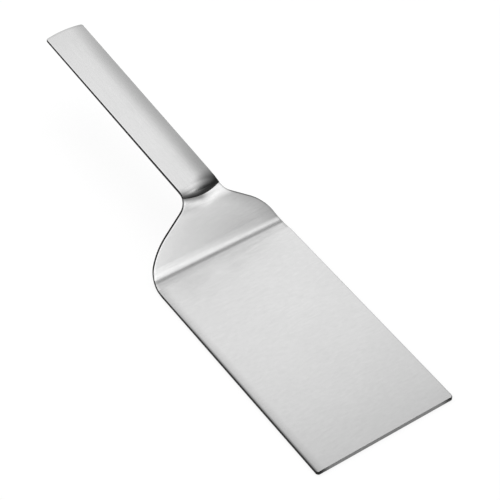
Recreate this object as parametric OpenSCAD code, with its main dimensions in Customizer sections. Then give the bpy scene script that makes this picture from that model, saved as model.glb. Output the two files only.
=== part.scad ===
// Serving spatula: a flat rectangular blade, a steep shoulder and a flat hollow handle.
// The blade, its shoulder, its neck and the tang are one bent sheet of steel.
// The handle is two pressed shells, joined along the seam round their edge, with the tang brazed inside.
// The origin is the centre of the blade's flat underside. +X runs to the tip, +Z is up.

/* [Blade] */
// Width of the blade across its long sides
blade_w = 75.5; // [66:0.5:90]
// Length of the flat part, from the bend at the heel to the tip
blade_flat_len = 128.8; // [90:0.2:170]
// Thickness of the sheet
sheet_t = 1.8; // [1.4:0.1:2.2]
// Radius of the two corners at the tip
tip_corner_r = 1.5; // [0.5:0.1:10]

/* [Shoulder] */
// Inside radius of the bend at the heel
heel_bend_r = 9.2; // [5:0.1:14]
// Slope of the shoulder above the blade, in degrees
shoulder_angle = 70; // [60:1:76]
// Length of the straight slope between the two bends
shoulder_len = 20.6; // [16:0.2:28]
// Front radius of the bend at the neck
neck_bend_r = 9.5; // [8.5:0.1:14]
// Radius of the rounded corners where the blade's sides turn in towards the neck
fan_corner_r = 35; // [20:0.5:40]
// Radius of the hollow curve that runs into the neck
fan_throat_r = 12; // [6:0.5:16]
// Angle between the fan's straight edge and the middle line, in degrees
fan_angle = 52.5; // [46:0.5:60]
// Length of parallel neck before the handle's straight part
throat_lead = 2; // [1:0.1:4]

/* [Handle] */
// Length of the straight part of the handle
handle_len = 122.2; // [90:0.2:150]
// Width of the handle at the neck
neck_w = 20.1; // [18:0.1:24]
// Width of the handle at its end
handle_end_w = 21.3; // [20:0.1:28]
// Rise of the handle above level, in degrees
handle_rise = 3.8; // [0:0.1:12]
// Height of the crown on the top of the handle
crown_h = 1.2; // [0.9:0.1:2]
// Depth of the belly under the handle
belly_h = 2.6; // [2.2:0.1:3.6]
// Thickness of the upper shell's edge at the seam
upper_rim_t = 0.9; // [0.9:0.1:1.6]
// Thickness of the lower shell's edge at the seam
lower_rim_t = 0.8; // [0.8:0.1:1.6]
// Wall of the two shells
shell_wall = 0.7; // [0.5:0.05:0.9]
// Radius of the corners at the handle's end
handle_corner_r = 1.2; // [0.5:0.1:5]
// Radius that rounds the belly off at both ends
belly_end_r = 15; // [8:0.5:30]
// Slope of the neck where the handle's edges end, in degrees
mouth_angle = 32.5; // [30:0.5:40]
// Slope of the neck where the middle of the handle's nose ends, in degrees
nose_angle = 45; // [44:0.5:55]

/* [Tang] */
// Width of the tang
tang_w = 13; // [9:0.1:14]
// Length of the tang inside the straight part of the handle
tang_len = 28; // [18:0.5:50]
// Depth of the sheet's front face below the top of the handle's edge
neck_step = 0.4; // [0.2:0.05:0.6]
// Thickness of the walls that close the hollow at its two ends
end_wall = 1.2; // [0.8:0.1:3]
// Width of the flat seam land inside the handle's edges
seam_land = 1.8; // [1.2:0.1:2.2]
// Length of the braze packed round the tang
braze_len = 14; // [8:0.5:16]

/* [Hidden] */
$fn = 96;
// Clearance between the tang and its slot, and round the braze
fit_gap = 0.05;
// Clearance where the handle's mouth meets the shoulders of the tang
joint_gap = 0.1;
// Overrun of the cuts, and overlap of the blade's plate and its bent strip
over = 1;
// Steps of the sheet: each bend, the slope, and the start of the fan on the flat
bend_steps = 14;
slope_steps = 24;
lead_steps = 4;
steel = [0.78, 0.79, 0.80];
shell_steel = [0.80, 0.81, 0.82];
braze_tone = [0.82, 0.76, 0.56];

// Places along the sheet's front face, from the start of the heel bend towards the handle
heel_arc = heel_bend_r * shoulder_angle * PI / 180;
neck_start = heel_arc + shoulder_len;
mouth_at = neck_start + neck_bend_r * (shoulder_angle - mouth_angle) * PI / 180;
neck_end = neck_start + neck_bend_r * (shoulder_angle - handle_rise) * PI / 180;
tang_end = neck_end + tang_len;
heel_x = -blade_flat_len / 2;
tip_x = blade_flat_len / 2;

// Outline of the fan: a rounded corner, a straight edge and a hollow curve, each tangent to the next
fan_depth = (blade_w - neck_w) / 2;
fan_turn = 1 - cos(fan_angle);
fan_fit = min(1, fan_depth / ((fan_corner_r + fan_throat_r) * fan_turn));
corner_r = fan_corner_r * fan_fit;
throat_r = fan_throat_r * fan_fit;
edge_len = (fan_depth - (corner_r + throat_r) * fan_turn) / sin(fan_angle);
fan_end = neck_end - throat_lead;
throat_start = fan_end - throat_r * sin(fan_angle);
corner_end = throat_start - edge_len * cos(fan_angle);
fan_start = corner_end - corner_r * sin(fan_angle);
strip_start = min(fan_start, 0);

// Half of the sheet's width at a place along it
function fan_half(s) =
    s <= fan_start ? blade_w / 2
    : s <= corner_end ? blade_w / 2 - corner_r + sqrt(pow(corner_r, 2) - pow(s - fan_start, 2))
    : s <= throat_start ? blade_w / 2 - corner_r * fan_turn - (s - corner_end) * tan(fan_angle)
    : s <= fan_end ? neck_w / 2 + throat_r - sqrt(pow(throat_r, 2) - pow(fan_end - s, 2))
    : neck_w / 2;

// Ends of the straight slope and centre of the neck bend, worked out from the heel
slope_foot_x = heel_x - heel_bend_r * sin(shoulder_angle);
slope_foot_z = sheet_t + heel_bend_r * (1 - cos(shoulder_angle));
slope_top_x = slope_foot_x - shoulder_len * cos(shoulder_angle);
slope_top_z = slope_foot_z + shoulder_len * sin(shoulder_angle);
bend_x = slope_top_x - neck_bend_r * sin(shoulder_angle);
bend_z = slope_top_z - neck_bend_r * cos(shoulder_angle);

// Slope of the sheet, and where its front face lies, at a place along it
function sheet_tilt(s) =
    s <= 0 ? 0
    : s <= heel_arc ? s / heel_bend_r * 180 / PI
    : s <= neck_start ? shoulder_angle
    : s <= neck_end ? shoulder_angle - (s - neck_start) / neck_bend_r * 180 / PI
    : handle_rise;
function along(start, run, tilt) = start + run * [-cos(tilt), sin(tilt)];
function sheet_front(s) =
    let (tilt = sheet_tilt(s))
    s <= 0 ? [heel_x - s, sheet_t]
    : s <= heel_arc ? [heel_x - heel_bend_r * sin(tilt), sheet_t + heel_bend_r * (1 - cos(tilt))]
    : s <= neck_start ? along([slope_foot_x, slope_foot_z], s - heel_arc, tilt)
    : along(
        [bend_x + neck_bend_r * sin(tilt), bend_z + neck_bend_r * cos(tilt)],
        max(0, s - neck_end),
        tilt
    );

// Stations of the bent strip as [place, half width], from the blade to the end of the tang
function fan_span(low, high, steps) = [
    for (i = [1 : steps])
        let (s = low + (high - low) * i / steps)
        [s, fan_half(s)]
];
stations = concat(
    [[strip_start - over, blade_w / 2], [strip_start, fan_half(strip_start)]],
    strip_start < 0 ? fan_span(strip_start, 0, lead_steps) : [],
    fan_span(0, heel_arc, bend_steps),
    fan_span(heel_arc, neck_start, slope_steps),
    fan_span(neck_start, mouth_at - joint_gap, bend_steps),
    [
        for (i = [0 : bend_steps])
            [mouth_at + (neck_end - mouth_at) * i / bend_steps, tang_w / 2]
    ],
    [[tang_end, tang_w / 2]]
);

// Corners of the strip at one station: front left, front right, back right, back left
function corners(station) =
    let (
        front = sheet_front(station[0]),
        tilt = sheet_tilt(station[0]),
        back = front - sheet_t * [sin(tilt), cos(tilt)]
    )
    [
        [front[0], -station[1], front[1]],
        [front[0], station[1], front[1]],
        [back[0], station[1], back[1]],
        [back[0], -station[1], back[1]]
    ];

// The handle is drawn from the centre of the neck bend, with x running back along it.
// Heights in its section are counted from the seam between the two shells.
seam_r = neck_bend_r + neck_step - upper_rim_t;
crown_top = upper_rim_t + crown_h;
belly_bottom = lower_rim_t + belly_h;
crown_r = (pow(neck_w / 2, 2) + pow(crown_h, 2)) / (2 * crown_h);
belly_r = (pow(neck_w / 2, 2) + pow(belly_h, 2)) / (2 * belly_h);
tang_top = upper_rim_t - neck_step;
tang_bottom = tang_top - sheet_t;
lip_bottom = fit_gap + shell_wall - tang_bottom;
section_w = max(blade_w, handle_end_w);
cavity_w = neck_w - 2 * seam_land;

// Angles round the neck bend, counted from the handle's straight part
mouth_turn = mouth_angle - handle_rise;
nose_turn = nose_angle - handle_rise;
nose_mid = (mouth_turn + nose_turn) / 2;

// Hollow curve of the handle's edge at the mouth, and round edge of the nose
mouth_half = fan_half(mouth_at);
flare_x = -neck_bend_r * sin(throat_lead / neck_bend_r * 180 / PI);
flare_run = neck_bend_r * sin(mouth_turn) + flare_x;
flare_out = mouth_half - neck_w / 2;
flare_r = (pow(flare_run, 2) + pow(flare_out, 2)) / (2 * flare_out);
nose_reach = neck_bend_r * sin(nose_turn - nose_mid);
nose_r = (pow(mouth_half, 2) + pow(2 * nose_reach, 2)) / (4 * nose_reach);

// Run of the arcs that round the belly off at both ends
end_run = sqrt(pow(belly_end_r, 2) - pow(belly_end_r - belly_h, 2));

module in_handle() {
    translate([bend_x, 0, bend_z]) rotate([0, handle_rise, 0]) rotate([0, 0, 180]) children();
}

// Runs a section straight along the handle
module along_handle(low, high) {
    translate([low, 0, seam_r]) rotate([90, 0, 90]) linear_extrude(high - low) children();
}

// Turns a section round the neck bend, from the straight part
module round_bend(turn) {
    rotate([0, -90, 0]) rotate([90, 0, 0]) rotate_extrude(angle = turn)
        translate([seam_r, 0]) rotate(-90) children();
}

// Runs a side view, drawn from the centre of the bend, across the handle
module across() {
    rotate([90, 0, 0]) linear_extrude(section_w, center = true) children();
}

// Part of the section between two heights
module band(low, high, width) {
    translate([-width / 2, low]) square([width, high - low]);
}

module crown_section(width, inset) {
    intersection() {
        band(0, crown_top - inset, width);
        translate([0, crown_top - crown_r]) circle(crown_r - inset, $fn = 4 * $fn);
    }
}

module belly_section(width, inset) {
    intersection() {
        band(inset - belly_bottom, 0, width);
        translate([0, belly_r - belly_bottom]) circle(belly_r - inset, $fn = 4 * $fn);
    }
}

// Plan of the straight part: it widens to the end, where its two corners are round
module handle_plan() {
    corner_x = handle_len - handle_corner_r;
    corner_y = handle_end_w / 2 - handle_corner_r;
    linear_extrude(2 * seam_r + crown_top) intersection() {
        polygon([
            [0, -neck_w / 2],
            [handle_len, -handle_end_w / 2],
            [handle_len, handle_end_w / 2],
            [0, neck_w / 2]
        ]);
        union() {
            translate([0, -section_w / 2]) square([corner_x, section_w]);
            translate([0, -corner_y]) square([handle_len, 2 * corner_y]);
            for (y = [-corner_y, corner_y])
                translate([corner_x, y]) circle(handle_corner_r);
        }
    }
}

// Side view of the lower shell, inset by a wall: the lip, the rim, and the belly with its rounded ends
module belly_side(inset) {
    far_x = handle_len - inset;
    across() translate([0, seam_r]) {
        translate([inset, inset - lip_bottom]) square([end_run, lip_bottom]);
        translate([inset, inset - lower_rim_t]) square([far_x - inset, lower_rim_t + crown_top]);
        intersection() {
            translate([inset, inset - belly_bottom]) square([far_x - inset, belly_bottom]);
            union() {
                translate([end_run, inset - belly_bottom])
                    square([handle_len - 2 * end_run, belly_bottom]);
                for (x = [end_run, handle_len - end_run])
                    translate([x, belly_end_r - belly_bottom]) circle(belly_end_r - inset);
            }
        }
    }
}

// Cuts away both sides of the bend, to the hollow curves that run out to the shoulder
module flare_cut() {
    height = seam_r + crown_top + over;
    for (side = [0, 1]) mirror([0, side, 0]) {
        translate([flare_x, neck_w / 2 + flare_r, 0]) cylinder(r = flare_r, h = height);
        translate([flare_x, neck_w / 2, 0]) cube([over - flare_x, section_w, height]);
    }
}

// Trims the front of the bend to the round edge of the nose
module nose_trim() {
    rotate([0, -nose_mid, 0]) translate([nose_r - nose_reach, 0, 0])
        cylinder(r = nose_r, h = seam_r + crown_top + over);
}

// Room for the sheet beyond the mouth, where it lies under the nose
module sheet_room() {
    across() intersection() {
        circle(seam_r + tang_top + fit_gap, $fn = 4 * $fn);
        polygon([
            [0, 0],
            2 * seam_r * [-sin(mouth_turn), cos(mouth_turn)],
            2 * seam_r * [-1, 1],
            2 * seam_r * [-1, 0]
        ]);
    }
}

// Room for the tang in the mouth and behind it, with its clearance
module tang_room() {
    round_bend(90) band(tang_bottom - fit_gap, tang_top + fit_gap, tang_w + 2 * fit_gap);
    along_handle(0, tang_len + over)
        band(tang_bottom - fit_gap, tang_top + fit_gap, tang_w + 2 * fit_gap);
}

// Hollow inside the handle, or what fills it up to a length, with a gap
module hollow(high, gap) {
    intersection() {
        along_handle(end_wall + gap, high) {
            crown_section(cavity_w - 2 * gap, shell_wall + gap);
            belly_section(cavity_w - 2 * gap, shell_wall + gap);
        }
        belly_side(shell_wall + gap);
    }
}

module strip() {
    count = len(stations);
    points = [for (station = stations) each corners(station)];
    sides = [
        for (i = [0 : count - 2])
            for (k = [0 : 3])
                let (a = 4 * i + k, b = 4 * i + (k + 1) % 4)
                each [[a, a + 4, b], [b, a + 4, b + 4]]
    ];
    last = 4 * (count - 1);
    ends = [[0, 1, 2], [0, 2, 3], [last, last + 2, last + 1], [last, last + 3, last + 2]];
    polyhedron(points = points, faces = concat(sides, ends));
}

module flat_blade() {
    back_x = heel_x - strip_start;
    corner_x = tip_x - tip_corner_r;
    side_y = blade_w / 2;
    corner_y = side_y - tip_corner_r;
    linear_extrude(sheet_t) {
        polygon([
            [back_x, -side_y],
            [corner_x, -side_y],
            [corner_x, -corner_y],
            [tip_x, -corner_y],
            [tip_x, corner_y],
            [corner_x, corner_y],
            [corner_x, side_y],
            [back_x, side_y]
        ]);
        for (y = [-corner_y, corner_y])
            translate([corner_x, y]) circle(tip_corner_r);
    }
}

module blade() {
    color(steel) union() {
        flat_blade();
        strip();
    }
}

module handle_upper_shell() {
    color(shell_steel) in_handle() difference() {
        union() {
            intersection() {
                along_handle(0, handle_len) crown_section(section_w, 0);
                handle_plan();
            }
            difference() {
                intersection() {
                    round_bend(90) crown_section(section_w, 0);
                    nose_trim();
                }
                flare_cut();
                sheet_room();
            }
        }
        tang_room();
        hollow(handle_len - end_wall, 0);
    }
}

module handle_lower_shell() {
    color(shell_steel) in_handle() difference() {
        union() {
            intersection() {
                along_handle(0, handle_len) belly_section(section_w, 0);
                handle_plan();
                belly_side(0);
            }
            difference() {
                round_bend(mouth_turn) intersection() {
                    belly_section(section_w, 0);
                    band(-lip_bottom, 0, section_w);
                }
                flare_cut();
            }
        }
        tang_room();
        hollow(handle_len - end_wall, 0);
    }
}

module tang_braze() {
    color(braze_tone) in_handle() difference() {
        hollow(end_wall + fit_gap + braze_len, fit_gap);
        tang_room();
    }
}

blade();
handle_upper_shell();
handle_lower_shell();
tang_braze();
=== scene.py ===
import math

import bpy
from mathutils import Euler, Matrix, Vector


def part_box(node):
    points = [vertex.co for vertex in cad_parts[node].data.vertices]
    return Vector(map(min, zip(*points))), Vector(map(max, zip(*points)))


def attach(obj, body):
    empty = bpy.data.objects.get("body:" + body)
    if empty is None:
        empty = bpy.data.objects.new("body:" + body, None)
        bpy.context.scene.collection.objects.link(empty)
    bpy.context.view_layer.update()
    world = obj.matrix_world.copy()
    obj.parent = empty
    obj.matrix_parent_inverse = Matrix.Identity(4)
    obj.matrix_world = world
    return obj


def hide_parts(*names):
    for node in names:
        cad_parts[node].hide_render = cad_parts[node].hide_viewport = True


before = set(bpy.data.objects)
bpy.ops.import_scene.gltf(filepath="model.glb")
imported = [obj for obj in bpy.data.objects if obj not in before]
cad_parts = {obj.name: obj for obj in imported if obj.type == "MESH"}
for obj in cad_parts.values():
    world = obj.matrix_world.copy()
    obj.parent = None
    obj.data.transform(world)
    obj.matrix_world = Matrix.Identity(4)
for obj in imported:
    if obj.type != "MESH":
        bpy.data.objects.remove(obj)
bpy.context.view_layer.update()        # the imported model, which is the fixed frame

print("frame loaded")

# Everything is in metres, and angles in the dictionaries are in degrees.
# The sheet is drawn flat and then bent: s runs along it from the heel to the handle and is
# negative on the flat blade, y runs across, and heights are counted from its underside.

sheetShape = {
    "thickness": 0.0018,
    "heelRadius": 0.0092,       # inside the bend at the heel
    "shoulderAngle": 70.0,
    "shoulderLength": 0.0206,
    "neckRadius": 0.0095,       # outside the bend at the neck
    "cornerRadius": 0.035,      # where the sides turn in towards the neck
    "throatRadius": 0.012,      # hollow curve into the neck
    "fanAngle": 52.5,
    "throatLead": 0.002,
    "neckWidth": 0.0201,
    "tipRadius": 0.0015,
    "tangWidth": 0.013,
    "tangLength": 0.028,
    "sideRound": 0.00018,       # rounded edge of the sheet along the blade
    "fanRound": 0.00055,        # and round the shoulder
    "fanBelow": 0.0007,         # the same on its back
    "tipRound": 0.0006,         # the serving edge is eased more
}

handleShape = {
    "rise": 3.8,                # the straight handle's climb
    "length": 0.1222,           # of that straight part
    "endWidth": 0.0213,
    "upperRim": 0.0009,         # height of the upper shell's side wall
    "lowerRim": 0.0008,
    "crown": 0.0012,
    "belly": 0.0026,
    "faceStep": 0.0004,         # the sheet's face lies this far below the top of the rim
    "lipDepth": 0.00205,        # of the lower shell round its mouth
    "bellyEndRadius": 0.015,
    "cornerRadius": 0.0012,
    "mouthAngle": 32.5,         # the sheet's tilt where the mouth grips it
    "noseAngle": 45.0,          # and where the middle of the upper shell's nose ends
    "rimRound": 0.0004,
    "noseRun": 0.0015,          # the nose rolls down onto the sheet over this run
    "noseCurl": 2.0,
    "seamRound": 0.0001,        # fine groove where the two shells meet
    "bellyRound": 0.0004,
    "blendWidth": 0.0003,       # softens the belly into its rounded ends
    "wall": 0.0007,             # and what is inside: walls, closed ends and the flat seam
    "endWall": 0.0012,
    "seamLand": 0.0018,
    "tangGap": 0.00005,
}

meshDetail = {
    "columns": 36,
    "edgeLean": 0.35,           # draws the columns closer together towards the two edges
    "edgeShares": (0.01, 0.028),    # two more close columns along each side
    "bladeRows": 40,
    "fanRows": 6,               # from where the sides turn in to the heel
    "bendRows": 26,
    "slopeRows": 26,
    "tangBendRows": 8,
    "tangRows": 4,
    "handleRows": 38,
    "endRows": 12,              # over each rounded end of the belly
    "cornerRows": 7,
    "roundSteps": 8,
    "cutFrom": 1,               # the ring of the rim from which the painted dark cut edge shows
    "fanCutFrom": 4,            # later on the shoulder, where less of the edge is painted dark
    "shellCutFrom": 2,
    "noCut": 99,                # more rings than there are
    "endFacing": 0.7,           # rim that faces the far end by more than this share has none
    "seatGap": 0.00005,         # the sheet narrows to the tang over this run
    "stepShare": 0.004,         # width of the close columns and rows where an inner wall stands
    "stepRun": 0.0001,
    "nudge": 0.00001,           # half the run over which a side's direction is taken
}

finishAt = {"face": 0, "cut": 1, "tip": 2}      # places in a piece's list of materials


def rad(angle):
    return math.radians(angle)


def clamp(share):
    return min(1.0, max(0.0, share))


def smooth(share):
    share = clamp(share)
    return share * share * (3 - 2 * share)


def between(low, high, share):
    return low + (high - low) * share


def ramp(value, start, run):
    return smooth((value - start) / run)


def bell(distance, width):
    return 1 - smooth(abs(distance) / width)


def edgeLine(inset, width):
    # whole up to half its width from the edge, and gone at one and a half
    return smooth(1.5 - inset / width)


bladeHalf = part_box("blade")[1].y
heelX = -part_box("blade")[1].x            # the origin is the middle of the flat blade
flatLength = -2 * heelX
thick = sheetShape["thickness"]
slope = rad(sheetShape["shoulderAngle"])
rise = rad(handleShape["rise"])
heelR = sheetShape["heelRadius"]
neckR = sheetShape["neckRadius"]
heelEnd = heelR * slope
neckStart = heelEnd + sheetShape["shoulderLength"]
mouthAt = neckStart + neckR * (slope - rad(handleShape["mouthAngle"]))
neckEnd = neckStart + neckR * (slope - rise)
tangEnd = neckEnd + sheetShape["tangLength"]
neckHalf = sheetShape["neckWidth"] / 2

footX = heelX - heelR * math.sin(slope)
footZ = thick + heelR * (1 - math.cos(slope))
bendX = footX - sheetShape["shoulderLength"] * math.cos(slope) - neckR * math.sin(slope)
bendZ = footZ + sheetShape["shoulderLength"] * math.sin(slope) - neckR * math.cos(slope)

fanAngle = rad(sheetShape["fanAngle"])
cornerR = sheetShape["cornerRadius"]
throatR = sheetShape["throatRadius"]
fanTurn = 1 - math.cos(fanAngle)
fanEdge = (bladeHalf - neckHalf - (cornerR + throatR) * fanTurn) / math.sin(fanAngle)
fanEnd = neckEnd - sheetShape["throatLead"]
throatStart = fanEnd - throatR * math.sin(fanAngle)
cornerEnd = throatStart - fanEdge * math.cos(fanAngle)
fanStart = cornerEnd - cornerR * math.sin(fanAngle)


def fanHalf(s):
    # half the sheet's width
    if s <= fanStart:
        return bladeHalf
    if s <= cornerEnd:
        return bladeHalf - cornerR + math.sqrt(cornerR ** 2 - (s - fanStart) ** 2)
    if s <= throatStart:
        return bladeHalf - cornerR * fanTurn - (s - cornerEnd) * math.tan(fanAngle)
    if s <= fanEnd:
        return neckHalf + throatR - math.sqrt(throatR ** 2 - (fanEnd - s) ** 2)
    return neckHalf


def bendSheet(s, y, height):
    if s <= 0:
        tilt, x, z = 0.0, heelX - s, thick
    elif s <= heelEnd:
        tilt = s / heelR
        x, z = heelX - heelR * math.sin(tilt), thick + heelR * (1 - math.cos(tilt))
    elif s <= neckStart:
        tilt = slope
        x = footX - (s - heelEnd) * math.cos(tilt)
        z = footZ + (s - heelEnd) * math.sin(tilt)
    else:
        tilt = max(rise, slope - (s - neckStart) / neckR)
        past = max(0.0, s - neckEnd)
        x = bendX + neckR * math.sin(tilt) - past * math.cos(tilt)
        z = bendZ + neckR * math.cos(tilt) + past * math.sin(tilt)
    drop = thick - height
    return Vector((x - drop * math.sin(tilt), y, z - drop * math.cos(tilt)))


# The handle's two shells are drawn straight as well: a runs back from the neck and is negative
# round the bend, and heights are counted from the seam.

seamR = neckR + handleShape["faceStep"] - handleShape["upperRim"]
mouthTurn = rad(handleShape["mouthAngle"]) - rise
noseTurn = rad(handleShape["noseAngle"]) - rise
mouthRun = neckR * mouthTurn
mouthHalf = fanHalf(mouthAt)
noseReach = neckR * math.sin((noseTurn - mouthTurn) / 2)
noseR = (mouthHalf ** 2 + (2 * noseReach) ** 2) / (4 * noseReach)
flareX = neckR * math.sin(sheetShape["throatLead"] / neckR)
flareOut = mouthHalf - neckHalf
flareRun = neckR * math.sin(mouthTurn) - flareX
flareR = (flareRun ** 2 + flareOut ** 2) / (2 * flareOut)
handleLength = handleShape["length"]
endHalf = handleShape["endWidth"] / 2
crownTop = handleShape["upperRim"] + handleShape["crown"]
bellyBottom = handleShape["lowerRim"] + handleShape["belly"]
crownR = (neckHalf ** 2 + handleShape["crown"] ** 2) / (2 * handleShape["crown"])
bellyR = (neckHalf ** 2 + handleShape["belly"] ** 2) / (2 * handleShape["belly"])


def handleHalf(a):
    if a >= 0:
        return neckHalf + (endHalf - neckHalf) * a / handleLength
    front = neckR * math.sin(mouthTurn * min(1.0, -a / mouthRun)) - flareX
    if front <= 0:
        return neckHalf
    return neckHalf + flareR - math.sqrt(flareR ** 2 - front ** 2)


def noseTurnAt(y):
    back = noseR - math.sqrt(noseR ** 2 - min(abs(y), mouthHalf) ** 2)
    return (mouthTurn + noseTurn) / 2 + math.asin((noseReach - back) / neckR)


def bendHandle(a, y, height, turn):
    reach = seamR + height
    tilt = rise + turn * max(0.0, -a / mouthRun)
    run = max(0.0, a)
    x = bendX + reach * math.sin(tilt) - run * math.cos(rise)
    z = bendZ + reach * math.cos(tilt) + run * math.sin(rise)
    return Vector((x, y, z))


def bendUpper(a, y, height):
    return bendHandle(a, y, height, noseTurnAt(y))


def bendLower(a, y, height):
    return bendHandle(a, y, height, mouthTurn)


def crownHeight(a, y):
    return crownTop - crownR + math.sqrt(crownR ** 2 - y ** 2)


endR = handleShape["bellyEndRadius"]
endRun = math.sqrt(endR ** 2 - (endR - handleShape["belly"]) ** 2)


def bellyDepth(a, y, soft=handleShape["blendWidth"]):
    # the smaller of the depths of its two curves, blended over the width soft
    across = bellyBottom - bellyR + math.sqrt(bellyR ** 2 - y ** 2)

    def endDepth(distance):
        short = max(0.0, endRun - max(0.0, distance))
        return bellyBottom - endR + math.sqrt(endR ** 2 - short ** 2)

    along = min(max(endDepth(a), handleShape["lipDepth"]), endDepth(handleLength - a))
    return (across + along - math.sqrt((across - along) ** 2 + soft ** 2)) / 2


# A plate is a grid of rows and columns with a rounded rim all round. A row is its place along
# the plate, half its width, the outward direction of the edge there and the rim's rounding.
# It can also hold "below", the rounding underneath, "cutFrom", the first ring of the rim with
# the painted dark cut edge, "rim", the finish of the rim across an end, and "fall" and "curl",
# the height that the rim rolls down to and how late it does so.

def edgeRow(place, half, along, across, rounding):
    return {"place": place, "half": half, "along": along, "across": across, "round": rounding}


def sideRows(places, halfAt, rounding):
    nudge = meshDetail["nudge"]
    rows = []
    for place in places:
        steep = (halfAt(place + nudge) - halfAt(place - nudge)) / (2 * nudge)
        size = math.hypot(1, steep)
        rows.append(edgeRow(place, halfAt(place), -steep / size, 1 / size, rounding(place)))
    return rows


def cornerRows(end, half, radius, sign, sideRound, endRound):
    steps = meshDetail["cornerRows"]
    rows = []
    for i in range(steps + 1):
        turn = i / steps * math.pi / 2
        place = end - sign * radius * (1 - math.sin(turn))
        width = half - radius * (1 - math.cos(turn))
        rows.append(edgeRow(place, width, sign * math.sin(turn), math.cos(turn),
                            between(sideRound, endRound, i / steps)))
    return rows


def rimRadius(row, up, bottomShare):
    if up > 0:
        return row["round"]
    return row.get("below", row["round"] * bottomShare)


def rimLoop(last, width):
    # the grid's outer places, once round
    loop = [(i, width) for i in range(last + 1)]
    loop += [(last, j) for j in range(width - 1, -1, -1)]
    loop += [(i, 0) for i in range(last - 1, -1, -1)]
    return loop + [(0, j) for j in range(1, width)]


def buildPlate(name, rows, shares, bend, topAt, bottomAt, materials, bottomShare=1.0,
               toneAt=None):
    last = len(rows) - 1
    width = len(shares) - 1
    steps = meshDetail["roundSteps"]
    loop = rimLoop(last, width)
    verts, uvs, tones, faces, slots = [], [], [], [], []

    def spot(i, j, inset):
        row = rows[i]
        return (row["place"] - inset * row["along"],
                shares[j] * (row["half"] - inset * row["across"]))

    def addPoint(a, y, height, u, v, up):
        verts.append(bend(a, y, height))
        uvs.append((u, v))
        tones.append(toneAt(a, y) if toneAt and up > 0 else 1.0)
        return len(verts) - 1

    def addFace(corners, finish):
        faces.append(corners)
        slots.append(finishAt[finish])

    def addSurface(surface, up):
        grid = {}
        for i in range(last + 1):
            for j in range(width + 1):
                a, y = spot(i, j, rimRadius(rows[i], up, bottomShare))
                grid[i, j] = addPoint(a, y, surface(a, y), a, y, up)
        for i in range(last):
            for j in range(width):
                corners = (grid[i, j], grid[i, j + 1], grid[i + 1, j + 1], grid[i + 1, j])
                addFace(corners if up > 0 else corners[::-1], "face")
        return [grid[place] for place in loop]

    def addRing(surface, up, k):
        turn = k / steps * math.pi / 2
        ring = []
        for i, j in loop:
            row = rows[i]
            radius = rimRadius(row, up, bottomShare)
            inset, drop = radius * (1 - math.sin(turn)), radius * (1 - math.cos(turn))
            inA, inY = spot(i, j, radius)
            if up > 0 and "fall" in row:
                # rolls all the way down and meets what lies under it at an angle
                inset = radius * (1 - k / steps)
                drop = (surface(inA, inY) - row["fall"]) * (k / steps) ** row["curl"]
            a, y = spot(i, j, inset)
            height = surface(inA, inY) - up * drop
            side = (j == width) - (j == 0)
            run = radius * turn
            ring.append(addPoint(a, y, height, inA + row["along"] * run,
                                 inY + side * row["across"] * run, up))
        return ring

    topEdge = addSurface(topAt, 1)
    bottomEdge = addSurface(bottomAt, -1)
    rings = [topEdge] + [addRing(topAt, 1, k) for k in range(1, steps + 1)]
    rings += [addRing(bottomAt, -1, k) for k in range(1, steps + 1)][::-1]
    rings.append(bottomEdge)
    for k in range(len(rings) - 1):
        upper, lower = rings[k], rings[k + 1]
        for n in range(len(loop)):
            m = (n + 1) % len(loop)
            row = rows[loop[n][0]]
            finish = "cut" if k >= row.get("cutFrom", meshDetail["cutFrom"]) else "face"
            if finish == "cut" and loop[n][0] == loop[m][0]:
                finish = row.get("rim", finish)
            addFace((upper[n], lower[n], lower[m], upper[m]), finish)
    return makePiece(name, verts, faces, slots, uvs, tones, materials)


def makePiece(name, verts, faces, slots, uvs, tones, materials):
    mesh = bpy.data.meshes.new(name)
    mesh.from_pydata(verts, [], faces)
    layer = mesh.uv_layers.new(name="flat")
    # painted light and shade, which the steel multiplies into its base colour
    mesh.attributes.new("paintedLightAndShade", "FLOAT", "POINT").data.foreach_set("value", tones)
    for polygon in mesh.polygons:
        polygon.use_smooth = True
        polygon.material_index = slots[polygon.index]
        for corner in polygon.loop_indices:
            layer.data[corner].uv = uvs[mesh.loops[corner].vertex_index]
    mesh.validate()
    mesh.update()
    piece = bpy.data.objects.new(name, mesh)
    bpy.context.scene.collection.objects.link(piece)
    for material in materials:
        mesh.materials.append(material)
    return piece


def spread(low, high, count):
    # leaves out low and ends at high
    return [low + (high - low) * i / count for i in range(1, count + 1)]


def columnShares():
    even = [2 * j / meshDetail["columns"] - 1 for j in range(1, meshDetail["columns"])]
    inner = [between(share, math.sin(math.pi / 2 * share), meshDetail["edgeLean"])
             for share in even]
    edge = [1 - share for share in (0.0, *meshDetail["edgeShares"])]
    return [-share for share in edge] + inner + edge[::-1]


# Materials. Noise scales are per metre along X, Y and Z, and bump depths are in metres.

noiseLow = 0.3              # noise seldom leaves this range
noiseHigh = 0.7

brushValues = {
    "blade": {
        "tone": (0.80, 0.80, 0.80),
        "roughness": 0.20,
        "roughSpread": 0.12,
        "anisotropy": 0.75,
        "turn": 0.0,                # 0 spreads reflections along the plate, 0.25 across it
        "grain": (9000, 160, 9000),
        "grainDepth": 0.0000006,
        "streak": (1100, 150, 1100),
        "streakShare": 0.05,
        "cloud": (45, 45, 45),
        "cloudShare": 0.025,
        "mottle": (700, 420, 700),
        "mottleShare": 0.035,
    },
    "handle": {
        "tone": (0.81, 0.81, 0.81),
        "roughness": 0.17,
        "roughSpread": 0.12,
        "anisotropy": 0.6,
        "turn": 0.25,
        "grain": (160, 9000, 9000),
        "grainDepth": 0.0000006,
        "streak": (22, 1300, 1300),
        "streakShare": 0.04,
        "cloud": (45, 45, 45),
        "cloudShare": 0.025,
        "mottle": (420, 700, 700),
        "mottleShare": 0.03,
    },
}


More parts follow.
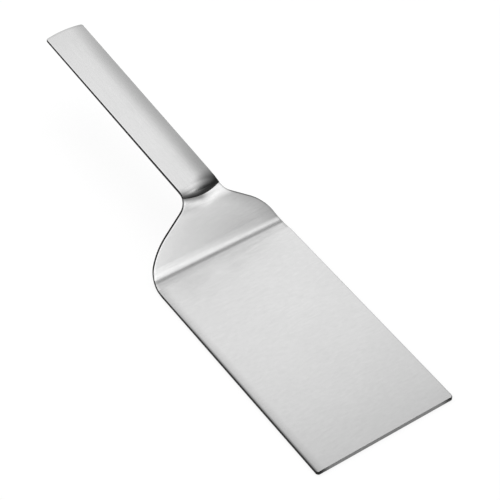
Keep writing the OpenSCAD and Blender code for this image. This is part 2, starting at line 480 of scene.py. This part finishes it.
def newMaterial(name):
    material = bpy.data.materials.new(name)
    material.use_nodes = True
    nodes = material.node_tree.nodes
    nodes.clear()
    output = nodes.new("ShaderNodeOutputMaterial")
    shader = nodes.new("ShaderNodeBsdfPrincipled")
    material.node_tree.links.new(shader.outputs["BSDF"], output.inputs["Surface"])
    return material, nodes, material.node_tree.links, shader


def noiseNode(nodes, links, coords, scale, detail=2.0, roughness=0.5):
    mapping = nodes.new("ShaderNodeMapping")
    mapping.inputs["Scale"].default_value = scale
    links.new(coords, mapping.inputs["Vector"])
    noise = nodes.new("ShaderNodeTexNoise")
    noise.inputs["Scale"].default_value = 1.0
    noise.inputs["Detail"].default_value = detail
    noise.inputs["Roughness"].default_value = roughness
    links.new(mapping.outputs["Vector"], noise.inputs["Vector"])
    return noise.outputs["Fac"]


def mapRange(nodes, links, value, fromLow, fromHigh, toLow, toHigh, kind="LINEAR"):
    node = nodes.new("ShaderNodeMapRange")
    node.interpolation_type = kind
    node.inputs["From Min"].default_value = fromLow
    node.inputs["From Max"].default_value = fromHigh
    node.inputs["To Min"].default_value = toLow
    node.inputs["To Max"].default_value = toHigh
    links.new(value, node.inputs["Value"])
    return node.outputs["Result"]


def noiseRange(nodes, links, noise, low, high):
    return mapRange(nodes, links, noise, noiseLow, noiseHigh, low, high)


def mathNode(nodes, links, operation, first, second):
    node = nodes.new("ShaderNodeMath")
    node.operation = operation
    for socket, value in zip(node.inputs, (first, second)):
        if isinstance(value, (int, float)):
            socket.default_value = value
        else:
            links.new(value, socket)
    return node.outputs["Value"]


def tintNode(nodes, links, colour, factor):
    node = nodes.new("ShaderNodeMix")
    node.data_type = "RGBA"
    node.blend_type = "MULTIPLY"
    node.inputs["Factor"].default_value = 1.0
    node.inputs["A"].default_value = (*colour, 1)
    links.new(factor, node.inputs["B"])
    return node.outputs["Result"]


def addBump(nodes, links, shader, height, depth):
    node = nodes.new("ShaderNodeBump")
    node.inputs["Distance"].default_value = depth
    links.new(height, node.inputs["Height"])
    links.new(node.outputs["Normal"], shader.inputs["Normal"])


def brushedSteel(name, values):
    material, nodes, links, shader = newMaterial(name)
    coords = nodes.new("ShaderNodeTexCoord").outputs["Object"]
    grain = noiseNode(nodes, links, coords, values["grain"], detail=3.0)
    streak = noiseNode(nodes, links, coords, values["streak"], detail=4.0, roughness=0.6)
    cloud = noiseNode(nodes, links, coords, values["cloud"])
    mottle = noiseNode(nodes, links, coords, values["mottle"], detail=3.0, roughness=0.6)
    # the painted light and shade from the mesh
    paintedLightAndShade = nodes.new("ShaderNodeAttribute")
    paintedLightAndShade.attribute_name = "paintedLightAndShade"
    tone = paintedLightAndShade.outputs["Fac"]
    for noise, share in ((streak, values["streakShare"]), (cloud, values["cloudShare"]),
                         (mottle, values["mottleShare"])):
        tone = mathNode(nodes, links, "MULTIPLY", tone,
                        noiseRange(nodes, links, noise, 1 - share, 1.0))
    links.new(tintNode(nodes, links, values["tone"], tone), shader.inputs["Base Color"])
    duller = values["roughness"] * (1 + values["roughSpread"])
    glossier = values["roughness"] * (1 - values["roughSpread"])
    links.new(noiseRange(nodes, links, streak, duller, glossier), shader.inputs["Roughness"])
    addBump(nodes, links, shader, grain, values["grainDepth"])
    tangent = nodes.new("ShaderNodeTangent")
    tangent.direction_type = "UV_MAP"
    tangent.uv_map = "flat"
    links.new(tangent.outputs["Tangent"], shader.inputs["Tangent"])
    shader.inputs["Metallic"].default_value = 1.0
    shader.inputs["Anisotropic"].default_value = values["anisotropy"]
    shader.inputs["Anisotropic Rotation"].default_value = values["turn"]
    return material


# Painted shade: the cut edges are coloured near black along the sides and dark grey at the tip,
# standing in for the dark reflections they show.
shadedCutEdgeValues = {
    "sides": {"tone": (0.009, 0.009, 0.009), "roughness": 0.5, "metallic": 0.0, "gloss": 0.1},
    "tip": {"tone": (0.24, 0.24, 0.24), "roughness": 0.4, "metallic": 1.0, "gloss": 0.5,
            "cornerFrom": 0.030, "cornerTo": 0.0365, "cornerShare": 0.1},
}

shearValues = {                 # the marks of the shears, the same on all cut edges
    "scale": (2600, 2600, 300),
    "share": 0.25,
    "depth": 0.00002,
    "glossier": 0.85,
    "duller": 1.1,
}


def shadedCutEdge(name, values):
    material, nodes, links, shader = newMaterial(name)
    coords = nodes.new("ShaderNodeTexCoord").outputs["Object"]
    shear = noiseNode(nodes, links, coords, shearValues["scale"], detail=3.0, roughness=0.6)
    tone = noiseRange(nodes, links, shear, 1 - shearValues["share"], 1.0)
    if "cornerFrom" in values:      # painted shade, darker towards the two corners of the tip
        parts = nodes.new("ShaderNodeSeparateXYZ")
        links.new(coords, parts.inputs["Vector"])
        out = mathNode(nodes, links, "ABSOLUTE", parts.outputs["Y"], 0.0)
        dark = mapRange(nodes, links, out, values["cornerFrom"], values["cornerTo"], 1.0,
                        values["cornerShare"], "SMOOTHSTEP")
        tone = mathNode(nodes, links, "MULTIPLY", tone, dark)
    links.new(tintNode(nodes, links, values["tone"], tone), shader.inputs["Base Color"])
    glossier = values["roughness"] * shearValues["glossier"]
    duller = values["roughness"] * shearValues["duller"]
    links.new(noiseRange(nodes, links, shear, glossier, duller), shader.inputs["Roughness"])
    addBump(nodes, links, shader, shear, shearValues["depth"])
    shader.inputs["Metallic"].default_value = values["metallic"]
    shader.inputs["Specular IOR Level"].default_value = values["gloss"]
    return material


brazeValues = {
    "tone": (0.72, 0.60, 0.34),
    "roughness": 0.38,
    "roughSpread": 0.2,
    "flow": (700, 700, 700),
    "flowShare": 0.18,
    "flowDepth": 0.00005,
}


def brazeMetal(name, values):
    material, nodes, links, shader = newMaterial(name)
    coords = nodes.new("ShaderNodeTexCoord").outputs["Object"]
    flow = noiseNode(nodes, links, coords, values["flow"], detail=4.0, roughness=0.6)
    tone = noiseRange(nodes, links, flow, 1 - values["flowShare"], 1.0)
    links.new(tintNode(nodes, links, values["tone"], tone), shader.inputs["Base Color"])
    duller = values["roughness"] * (1 + values["roughSpread"])
    glossier = values["roughness"] * (1 - values["roughSpread"])
    links.new(noiseRange(nodes, links, flow, duller, glossier), shader.inputs["Roughness"])
    addBump(nodes, links, shader, flow, values["flowDepth"])
    shader.inputs["Metallic"].default_value = 1.0
    return material


bladeSteel = brushedSteel("bladeSteel", brushValues["blade"])
handleSteel = brushedSteel("handleSteel", brushValues["handle"])
shadedEdgeSteel = shadedCutEdge("shadedEdgeSteel", shadedCutEdgeValues["sides"])
shadedTipSteel = shadedCutEdge("shadedTipSteel", shadedCutEdgeValues["tip"])
print("materials made")


# The blade: flat plate, shoulder, neck and tang in one sheet

def flatAt(height):
    return lambda a, y: height


# Painted light and shade on the sheet's top face: each share below multiplies its base colour.
sheetTones = {
    "leftTone": 1.17,           # painted light and shade on the shoulder, lighter at the left, darker at the right
    "rightTone": 0.57,
    "shoulderFrom": 0.0050,
    "shoulderTo": 0.0295,
    "fade": 0.0030,
    "shadeWidth": 0.012,        # wide painted light along the shoulder's left side, painted shade along its right
    "shadeLeft": 0.05,
    "shadeRight": -0.18,
    "edgeWidth": 0.0011,        # and a narrow painted highlight at the very left edge, painted shade at the right
    "edgeLeft": 0.25,
    "edgeRight": -0.15,
    "creaseAt": 0.0024,         # painted shade towards the inside of the heel bend
    "creaseWidth": 0.0032,
    "creaseLeft": 0.42,
    "creaseRight": 0.32,
    "bandAt": 0.0098,           # painted shade at the top of the bend, a painted highlight in its middle
    "bandWidth": 0.0020,
    "bandDrop": 0.10,
    "bandFrom": 0.55,
    "bandLift": 0.06,
    "liftAt": 0.0074,
    "liftWidth": 0.0022,
    "liftOver": 0.5,            # grows over this share of the width
    "footLift": 0.12,           # and a painted highlight on the flat in front of it
    "footEase": 0.0016,
    "footHalf": 0.014,
    "footFade": 0.012,
    "footRun": 0.0036,          # its reach at the middle, more at the left and less at the right
    "footLeft": 0.24,
    "footRight": 0.102,
    # painted light across the flat blade, darker at the left
    "bladeLean": 0.03,
    "sideShade": 0.22,          # painted shade in a strip along the blade's left side
    "sideWidth": 0.005,
    "rimShade": 0.65,           # and a narrow painted shade on its very edge
    "rimWidth": 0.0006,
    "rimRun": 0.04,
    "tipFrom": 0.030,           # painted shade towards the serving end
    "tipRun": 0.098,
    "tipDrop": 0.25,
    "tipCurve": 1.8,
    "neckLead": 0.006,          # what follows starts this far before the neck's bend
    "ringLeft": -0.20,          # a painted ring below the handle's nose: highlight at the right, shade at the left
    "ringRight": 0.17,
    "ringOver": 2 / 3,          # share of the nose's width over which it turns brighter
    "ringFar": 0.0052,          # its distance from the nose, less at the right
    "ringNear": 0.0030,
    "nearFrom": 0.55,
    "nearOver": 0.3,
    "ringWidth": 0.0032,
    "haloSide": 0.0030,         # width of the painted shade on the sheet under the nose
    "haloMiddle": 0.0040,
    "haloOver": 0.2,
    "haloTone": 0.32,
    "haloShadeFrom": 0.40,           # and it fades out towards the right
    "haloShadeOver": 0.3,
    "brightest": 1.25,
}


# painted shade and highlights across the heel bend and the flat in front of it
def creaseTone(s, y, across):
    values = sheetTones
    depth = between(values["creaseLeft"], values["creaseRight"], across)
    tone = 1 - depth * bell(s - values["creaseAt"], values["creaseWidth"])
    left = 1 - ramp(across, values["bandFrom"], 1 - values["bandFrom"])
    tone *= 1 - values["bandDrop"] * left * bell(s - values["bandAt"], values["bandWidth"])
    lift = values["bandLift"] * smooth(across / values["liftOver"])
    tone *= 1 + lift * bell(s - values["liftAt"], values["liftWidth"])
    reach = values["footRun"] - y * (values["footLeft"] if y < 0 else values["footRight"])
    foot = (1 - smooth(s / values["footEase"])) * (1 - ramp(-s, reach, reach))
    foot *= 1 - ramp(abs(y), values["footHalf"], values["footFade"])
    return tone * (1 + values["footLift"] * foot)


# painted highlight ring and painted shade on the sheet under the handle's nose
def neckTone(s, y):
    values = sheetTones
    side = clamp((y / mouthHalf + 1) / 2)
    below = neckR * (slope - rise - noseTurnAt(y)) + neckStart - s
    ring = between(values["ringLeft"], values["ringRight"], smooth(side / values["ringOver"]))
    ringAt = between(values["ringFar"], values["ringNear"],
                     ramp(side, values["nearFrom"], values["nearOver"]))
    halo = between(values["haloSide"], values["haloMiddle"], bell(side - 0.5, values["haloOver"]))
    haloShade = (1 - values["haloTone"]) * (1 - ramp(side, values["haloShadeFrom"], values["haloShadeOver"]))
    tone = 1 + ring * bell(below - ringAt, values["ringWidth"])
    return tone * (1 - haloShade * (1 - smooth(below / halo)))


# painted light and shade over the whole sheet, carried into its base colour
def sheetTone(s, y):
    values = sheetTones
    across = (y / bladeHalf + 1) / 2
    inset = fanHalf(s) - abs(y)
    shoulder = ramp(s, values["shoulderFrom"], values["fade"])
    shoulder *= 1 - ramp(s, values["shoulderTo"], values["fade"])
    lean = between(values["leftTone"], values["rightTone"], across)
    shade = values["shadeLeft"] if y < 0 else values["shadeRight"]
    lean *= 1 + shade * (1 - smooth(inset / values["shadeWidth"]))
    tone = 1 + (lean - 1) * shoulder
    tone *= 1 + values["bladeLean"] * y / bladeHalf * (1 - shoulder)
    tone *= creaseTone(s, y, across)
    if s > 0:
        edge = values["edgeLeft"] if y < 0 else values["edgeRight"]
        tone *= 1 + edge * edgeLine(inset, values["edgeWidth"])
    elif y < 0:
        tone *= 1 - values["sideShade"] * (1 - smooth(inset / values["sideWidth"]))
        rim = edgeLine(inset, values["rimWidth"]) * smooth(-s / values["rimRun"])
        tone *= 1 - values["rimShade"] * rim
    tipShade = clamp((-s - values["tipFrom"]) / values["tipRun"])
    tone *= 1 - values["tipDrop"] * tipShade ** values["tipCurve"]
    if s > neckStart - values["neckLead"]:
        tone *= neckTone(s, y)
    return min(tone, values["brightest"])


def makeBlade():
    sideRound = sheetShape["sideRound"]
    tipR = sheetShape["tipRadius"]
    tangHalf = sheetShape["tangWidth"] / 2

    def roundAt(s):
        return between(sideRound, sheetShape["fanRound"], smooth(s / heelEnd))

    rows = cornerRows(-flatLength, bladeHalf, tipR, -1, sideRound, sheetShape["tipRound"])[::-1]
    rows[0]["rim"] = "tip"
    places = spread(-flatLength + tipR, fanStart, meshDetail["bladeRows"])
    places += spread(fanStart, 0, meshDetail["fanRows"])
    places += spread(0, heelEnd, meshDetail["bendRows"])
    places += spread(heelEnd, neckStart, meshDetail["slopeRows"])
    places += spread(neckStart, mouthAt - meshDetail["seatGap"], meshDetail["bendRows"])
    rows += sideRows(places, fanHalf, roundAt)
    for row in rows:
        row["below"] = between(sideRound, sheetShape["fanBelow"], smooth(row["place"] / heelEnd))
        if row["place"] > heelEnd / 2:
            row["cutFrom"] = meshDetail["fanCutFrom"]
    tangPlaces = [mouthAt] + spread(mouthAt, neckEnd, meshDetail["tangBendRows"])
    tangPlaces += spread(neckEnd, tangEnd, meshDetail["tangRows"])
    rows += sideRows(tangPlaces, lambda s: tangHalf, lambda s: sideRound)
    rows[-1]["along"] = 1.0
    return buildPlate("blade_sheet", rows, columnShares(), bendSheet, flatAt(thick), flatAt(0.0),
                      (bladeSteel, shadedEdgeSteel, shadedTipSteel), toneAt=sheetTone)


# The handle's two shells

# Painted light and shade on the upper shell's top, multiplied into its base colour.
shellTones = {
    "darkest": 0.045,           # painted shade over the nose, darkest where it meets the sheet
    "startRight": 0.0016,       # the painted shade starts later and reaches further at the right
    "startFrom": 0.3,
    "startOver": 0.4,
    "spanLeft": 0.0061,
    "spanRight": 0.0100,
    "spanFrom": 0.02,
    "spanOver": 0.8,
    "glintTilt": 27.5,          # a soft painted glint across the rounded nose
    "glintWidth": 6.5,
    "glintLift": 1.3,
    "glintAt": -0.0032,
    "glintHalf": 0.010,
    "rightFrom": 0.45,          # share of the width from which the right side counts
    "rightOver": 0.4,
    "longRun": 0.045,           # a faint painted shade there that reaches further
    "longDrop": 0.19,
    "farFrom": 0.090,           # painted light again near the far end
    "farLift": 0.16,
    # painted highlight along the two sides, stronger at the left
    "edgeWidth": 0.0005,
    "edgeLeft": 0.18,
    "edgeRight": 0.06,
    # painted shade towards the far end
    "endFrom": 0.080,
    "endDrop": 0.06,
    "rimDrop": 0.16,            # a thin painted shade line round the far end
    "rimWidth": 0.0012,
}


# painted light and shade over the upper shell's top
def shellTone(a, y):
    values = shellTones
    across = (y / mouthHalf + 1) / 2
    if a < 0:
        gone = (a + mouthRun) * noseTurnAt(y) / mouthTurn
    else:
        gone = neckR * noseTurnAt(y) + a
    start = values["startRight"] * ramp(across, values["startFrom"], values["startOver"])
    span = between(values["spanLeft"], values["spanRight"],
                   ramp(across, values["spanFrom"], values["spanOver"]))
    tone = between(values["darkest"], 1, ramp(gone, start, span))
    tilt = math.degrees(rise + noseTurnAt(y) * max(0.0, -a / mouthRun))
    glint = bell(tilt - values["glintTilt"], values["glintWidth"])
    tone *= 1 + values["glintLift"] * glint * bell(y - values["glintAt"], values["glintHalf"])
    right = ramp(across, values["rightFrom"], values["rightOver"])
    tone *= 1 - values["longDrop"] * (1 - smooth(gone / values["longRun"])) * right
    far = ramp(a, values["farFrom"], handleLength - values["farFrom"])
    tone *= 1 + values["farLift"] * far * right
    edge = values["edgeLeft"] if y < 0 else values["edgeRight"]
    tone *= 1 + edge * edgeLine(handleHalf(a) - abs(y), values["edgeWidth"])
    end = ramp(a, values["endFrom"], handleLength - values["endFrom"])
    tone *= 1 - values["endDrop"] * end
    return tone * (1 - values["rimDrop"] * edgeLine(handleLength - a, values["rimWidth"]))


endWall = handleShape["endWall"]
stepRun = meshDetail["stepRun"]
stepShare = meshDetail["stepShare"]
onSheet = handleShape["upperRim"] - handleShape["faceStep"]     # the sheet's face, from the seam
innerHalf = neckHalf - handleShape["seamRound"]
slotShare = (sheetShape["tangWidth"] / 2 + handleShape["tangGap"]) / innerHalf
cavityShare = (neckHalf - handleShape["seamLand"]) / innerHalf


def inside(a, y):
    # the hollow of the handle, and the slot that the tang comes in through
    share = abs(y) / (handleHalf(a) - handleShape["seamRound"]) - stepShare / 2
    if endWall - stepRun / 2 < a < handleLength - endWall - stepRun / 2:
        return "hollow" if share < cavityShare else "seam"
    return "slot" if a < endWall and share < slotShare else "seam"


def shellColumns():
    walls = [slotShare, slotShare + stepShare, cavityShare, cavityShare + stepShare]
    return sorted(columnShares() + walls + [-share for share in walls])


def shellRows(sideRound, frontRun):
    endCorner = handleShape["cornerRadius"]
    places = [-mouthRun] + spread(-mouthRun + frontRun, 0, meshDetail["bendRows"])
    places += spread(0, endRun, meshDetail["endRows"])
    places += spread(endRun, handleLength - endRun, meshDetail["handleRows"])
    places += spread(handleLength - endRun, handleLength - endCorner, meshDetail["endRows"])
    places += [endWall - stepRun, endWall, handleLength - endWall - stepRun]
    rows = sideRows(sorted(places), handleHalf, lambda a: sideRound)
    rows[0]["along"] = -frontRun / sideRound
    rows += cornerRows(handleLength, endHalf, endCorner, 1, sideRound, sideRound)[1:]
    for row in rows:
        # the sides get the painted dark edge, the far end keeps the steel of the rest
        farEnd = row["along"] >= meshDetail["endFacing"]
        row["cutFrom"] = meshDetail["noCut" if farEnd else "shellCutFrom"]
    return rows


def makeUpperShell():
    rows = shellRows(handleShape["rimRound"], handleShape["noseRun"])
    rows[0]["rim"] = "face"
    rows[0]["fall"] = onSheet
    rows[0]["curl"] = handleShape["noseCurl"]
    share = handleShape["seamRound"] / handleShape["rimRound"]

    def seamAt(a, y):
        # beyond the mouth the nose comes down onto the sheet's face
        if noseTurnAt(y) * max(0.0, -a / mouthRun) > mouthTurn:
            return onSheet
        heights = {"hollow": crownHeight(a, y) - handleShape["wall"],
                   "slot": onSheet + handleShape["tangGap"], "seam": 0.0}
        return heights[inside(a, y)]

    return buildPlate("upper_shell", rows, shellColumns(), bendUpper, crownHeight, seamAt,
                      (handleSteel, shadedEdgeSteel), bottomShare=share, toneAt=shellTone)


def makeLowerShell():
    rows = shellRows(handleShape["seamRound"], handleShape["seamRound"])
    share = handleShape["bellyRound"] / handleShape["seamRound"]

    def seamAt(a, y):
        heights = {"hollow": handleShape["wall"] - bellyDepth(a, y, soft=0.0),
                   "slot": onSheet - thick - handleShape["tangGap"], "seam": 0.0}
        return heights[inside(a, y)]

    return buildPlate("lower_shell", rows, shellColumns(), bendLower, seamAt,
                      lambda a, y: -bellyDepth(a, y), (handleSteel, shadedEdgeSteel),
                      bottomShare=share)


blade = makeBlade()
upperShell = makeUpperShell()
lowerShell = makeLowerShell()
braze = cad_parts["tang_braze"]
braze.data.materials.clear()
braze.data.materials.append(brazeMetal("brazeMetal", brazeValues))
print("blade and handle built")

for piece, node, slot in ((blade, "blade", "blade_steel"),
                          (upperShell, "handle_upper_shell", "handle_steel"),
                          (lowerShell, "handle_lower_shell", "handle_steel")):
    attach(piece, "root")
    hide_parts(node)


# Floor, studio and camera

floorValues = {
    "size": 6.0,
    "tone": (0.90, 0.90, 0.90),
    "glow": 0.85,               # share of plain white that the camera sees
    "mirrorGlow": 0.4,          # and the share that reflections see
    "gap": 0.0002,              # lies this far below the blade
}


def makeFloor():
    half = floorValues["size"] / 2
    mesh = bpy.data.meshes.new("floor")
    mesh.from_pydata([(-half, -half, 0), (half, -half, 0), (half, half, 0), (-half, half, 0)],
                     [], [(0, 1, 2, 3)])
    floor = bpy.data.objects.new("floor", mesh)
    floor.location.z = -floorValues["gap"]
    bpy.context.scene.collection.objects.link(floor)
    material = bpy.data.materials.new("paleFloor")
    material.use_nodes = True
    nodes, links = material.node_tree.nodes, material.node_tree.links
    nodes.clear()
    output = nodes.new("ShaderNodeOutputMaterial")
    diffuse = nodes.new("ShaderNodeBsdfDiffuse")
    diffuse.inputs["Color"].default_value = (*floorValues["tone"], 1)
    white = nodes.new("ShaderNodeEmission")
    white.inputs["Color"].default_value = (1, 1, 1, 1)
    white.inputs["Strength"].default_value = 1.0
    path = nodes.new("ShaderNodeLightPath")
    mirrored = mathNode(nodes, links, "MAXIMUM", path.outputs["Is Glossy Ray"],
                        path.outputs["Is Transmission Ray"])
    mirrored = mathNode(nodes, links, "MULTIPLY", mirrored, floorValues["mirrorGlow"])
    seen = mathNode(nodes, links, "MULTIPLY", path.outputs["Is Camera Ray"], floorValues["glow"])
    mix = nodes.new("ShaderNodeMixShader")
    links.new(mathNode(nodes, links, "MAXIMUM", seen, mirrored), mix.inputs[0])
    links.new(diffuse.outputs[0], mix.inputs[1])
    links.new(white.outputs[0], mix.inputs[2])
    links.new(mix.outputs[0], output.inputs["Surface"])
    mesh.materials.append(material)


# Soft boxes and dark flags round the object. Azimuth runs from +X towards +Y, in degrees. Within
# its inner angle a zone has its own light, and beyond its outer one it changes nothing.
studioValues = {
    "base": 0.74,
    "zones": [
        {"azimuth": 185, "height": 50, "inner": 34, "outer": 70, "light": 0.96},
        {"azimuth": 235, "height": 20, "inner": 12, "outer": 32, "light": 1.4},
        {"azimuth": 112, "height": 28, "inner": 8, "outer": 35, "light": 0.485},
        {"azimuth": 95, "height": 68, "inner": 8, "outer": 26, "light": 1.3},
        {"azimuth": 340, "height": 10, "inner": 8, "outer": 24, "light": 1.4},
        {"azimuth": 25, "height": 24, "inner": 12, "outer": 28, "light": 0.92},
        {"azimuth": 24, "height": 6, "inner": 8, "outer": 19, "light": 1.1},
        {"azimuth": 31, "height": 43, "inner": 7, "outer": 17, "light": 1.18},
        {"azimuth": 55, "height": 61, "inner": 5, "outer": 14, "light": 0.30},
    ],
}


def makeStudio():
    world = bpy.data.worlds.new("studio")
    bpy.context.scene.world = world
    world.use_nodes = True
    nodes, links = world.node_tree.nodes, world.node_tree.links
    nodes.clear()
    output = nodes.new("ShaderNodeOutputWorld")
    background = nodes.new("ShaderNodeBackground")
    direction = nodes.new("ShaderNodeTexCoord").outputs["Generated"]
    light = studioValues["base"]
    for zone in studioValues["zones"]:
        turn, height = rad(zone["azimuth"]), rad(zone["height"])
        dot = nodes.new("ShaderNodeVectorMath")
        dot.operation = "DOT_PRODUCT"
        dot.inputs[1].default_value = (math.cos(turn) * math.cos(height),
                                       math.sin(turn) * math.cos(height), math.sin(height))
        links.new(direction, dot.inputs[0])
        mask = mapRange(nodes, links, dot.outputs["Value"], math.cos(rad(zone["outer"])),
                        math.cos(rad(zone["inner"])), 0.0, 1.0, "SMOOTHERSTEP")
        mix = nodes.new("ShaderNodeMix")
        mix.data_type = "FLOAT"
        links.new(mask, mix.inputs["Factor"])
        if isinstance(light, float):
            mix.inputs["A"].default_value = light
        else:
            links.new(light, mix.inputs["A"])
        mix.inputs["B"].default_value = zone["light"]
        light = mix.outputs["Result"]
    links.new(light, background.inputs["Strength"])
    white = nodes.new("ShaderNodeBackground")
    white.inputs["Strength"].default_value = 1.0
    white.inputs["Color"].default_value = (1, 1, 1, 1)
    background.inputs["Color"].default_value = (1, 1, 1, 1)
    path = nodes.new("ShaderNodeLightPath")
    mix = nodes.new("ShaderNodeMixShader")
    links.new(path.outputs["Is Camera Ray"], mix.inputs[0])
    links.new(background.outputs[0], mix.inputs[1])
    links.new(white.outputs[0], mix.inputs[2])
    links.new(mix.outputs[0], output.inputs["Surface"])


lampValues = {                  # a soft light from above, which reflections don't show
    "place": (-0.5, 0.3, 1.4),
    "size": 1.2,
    "power": 9.0,
}


def makeLamp():
    lamp = bpy.data.lights.new("softLamp", "AREA")
    lamp.shape = "SQUARE"
    lamp.size = lampValues["size"]
    lamp.energy = lampValues["power"]
    holder = bpy.data.objects.new("softLamp", lamp)
    holder.location = lampValues["place"]
    holder.rotation_euler = (-Vector(lampValues["place"])).to_track_quat("-Z", "Y").to_euler()
    holder.visible_glossy = False
    bpy.context.scene.collection.objects.link(holder)


cameraValues = {
    "place": (0.45527, -0.34084, 0.67105),
    "heading": 145.6146,        # where it looks, from +X towards +Y
    "down": 46.8710,
    "focalPixels": 1900.0,      # in pixels of the photo's frame
    "framePixels": 500.0,
    "sensor": 36.0,             # in millimetres
    "nearest": 0.01,
    "farthest": 20.0,
}


def makeCamera():
    camera = bpy.data.cameras.new("camera")
    camera.sensor_width = cameraValues["sensor"]
    camera.lens = (cameraValues["focalPixels"] / cameraValues["framePixels"]
                   * cameraValues["sensor"])
    camera.clip_start = cameraValues["nearest"]
    camera.clip_end = cameraValues["farthest"]
    holder = bpy.data.objects.new("camera", camera)
    turn = Euler((rad(90 - cameraValues["down"]), 0.0, rad(cameraValues["heading"] - 90)))
    holder.matrix_world = Matrix.Translation(cameraValues["place"]) @ turn.to_matrix().to_4x4()
    bpy.context.scene.collection.objects.link(holder)
    bpy.context.scene.camera = holder


makeFloor()
makeStudio()
makeLamp()
makeCamera()
bpy.context.scene.view_settings.view_transform = "Standard"
print("stage ready")
